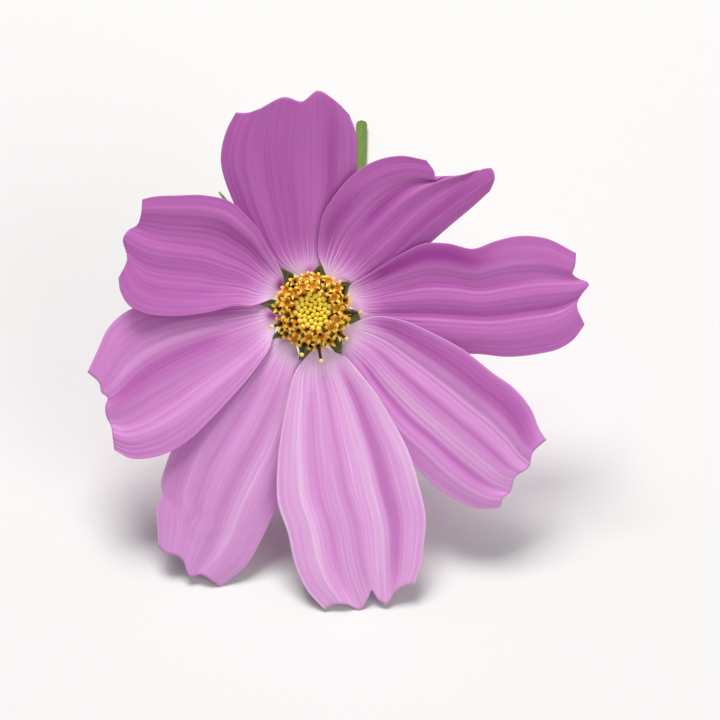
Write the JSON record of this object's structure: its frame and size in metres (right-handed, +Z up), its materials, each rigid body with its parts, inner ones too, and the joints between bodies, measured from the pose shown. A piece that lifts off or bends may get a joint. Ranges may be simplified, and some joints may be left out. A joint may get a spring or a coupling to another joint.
{
  "type": "cosmos flower",
  "caption": "Pink cosmos flower picked with a short stalk and laid on its petals and stalk: broad toothed ray petals round a yellow disc, with two rings of green bracts behind.",
  "frame": {"origin": "on the surface that the flower lies on, below the middle of its bounding box", "axes": "+Z up from that surface, +Y along the lying stalk away from the head, +X to the right as the disc is looked at; the disc faces 45 degrees up, towards -Y"},
  "size_m": [0.08, 0.1156, 0.0597],
  "materials": {
    "petal": "satin, fine lengthwise veins, paler at the base",
    "disc_bud": "waxy matt",
    "disc_floret": "matt, with pollen",
    "inner_bract": "matt",
    "outer_bract": "satin",
    "receptacle": "satin",
    "stem": "satin, fine ribs"
  },
  "bodies": {
    "root": {"stem": "stem", "receptacle": "receptacle", "inner_bract_1": "inner_bract", "inner_bract_2": "inner_bract", "inner_bract_3": "inner_bract", "inner_bract_4": "inner_bract", "inner_bract_5": "inner_bract", "inner_bract_6": "inner_bract", "inner_bract_7": "inner_bract", "inner_bract_8": "inner_bract", "outer_bract_1": "outer_bract", "outer_bract_2": "outer_bract", "outer_bract_3": "outer_bract", "outer_bract_4": "outer_bract", "outer_bract_5": "outer_bract", "outer_bract_6": "outer_bract", "outer_bract_7": "outer_bract", "outer_bract_8": "outer_bract", "petal_top": "petal", "petal_upper_right": "petal", "petal_right": "petal", "petal_lower_right": "petal", "petal_bottom": "petal", "petal_lower_left": "petal", "petal_left": "petal", "petal_upper_left": "petal", "young_florets": "disc_bud", "open_floret_01": "disc_floret", "open_floret_02": "disc_floret", "open_floret_03": "disc_floret", "open_floret_04": "disc_floret", "open_floret_05": "disc_floret", "open_floret_06": "disc_floret", "open_floret_07": "disc_floret", "open_floret_08": "disc_floret", "open_floret_09": "disc_floret", "open_floret_10": "disc_floret", "open_floret_11": "disc_floret", "open_floret_12": "disc_floret", "open_floret_13": "disc_floret", "open_floret_14": "disc_floret", "open_floret_15": "disc_floret", "open_floret_16": "disc_floret", "open_floret_17": "disc_floret", "open_floret_18": "disc_floret", "open_floret_19": "disc_floret", "open_floret_20": "disc_floret", "open_floret_21": "disc_floret", "open_floret_22": "disc_floret", "open_floret_23": "disc_floret", "open_floret_24": "disc_floret", "open_floret_25": "disc_floret", "open_floret_26": "disc_floret", "open_floret_27": "disc_floret", "open_floret_28": "disc_floret", "open_floret_29": "disc_floret", "open_floret_30": "disc_floret", "open_floret_31": "disc_floret", "open_floret_32": "disc_floret"}
  },
  "joints": []
}
